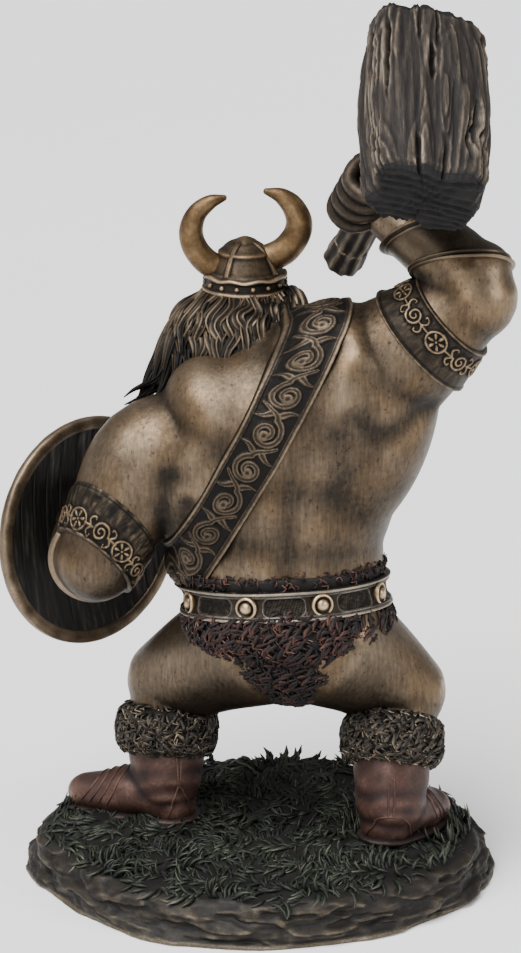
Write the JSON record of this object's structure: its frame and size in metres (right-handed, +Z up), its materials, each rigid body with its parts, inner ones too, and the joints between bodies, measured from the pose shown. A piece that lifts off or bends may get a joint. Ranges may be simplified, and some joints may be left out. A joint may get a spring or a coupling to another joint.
{
  "type": "viking warrior statue",
  "caption": "Figurine of a horned-helmed warrior with a raised wooden hammer and a round shield, standing on a low grassy rock base.",
  "frame": {"origin": "middle of the flat underside of the rock base, between its left and right ends", "axes": "+Z up, the figure faces -Y, its own right is -X"},
  "size_m": [0.1543, 0.1228, 0.2687],
  "materials": {
    "skin_bronze": "satin",
    "dark_wood": "matt",
    "trim_brass": "satin",
    "red_brown": "matt",
    "grass_rock": "matt"
  },
  "bodies": {
    "root": {"statue": "skin_bronze"}
  },
  "joints": []
}
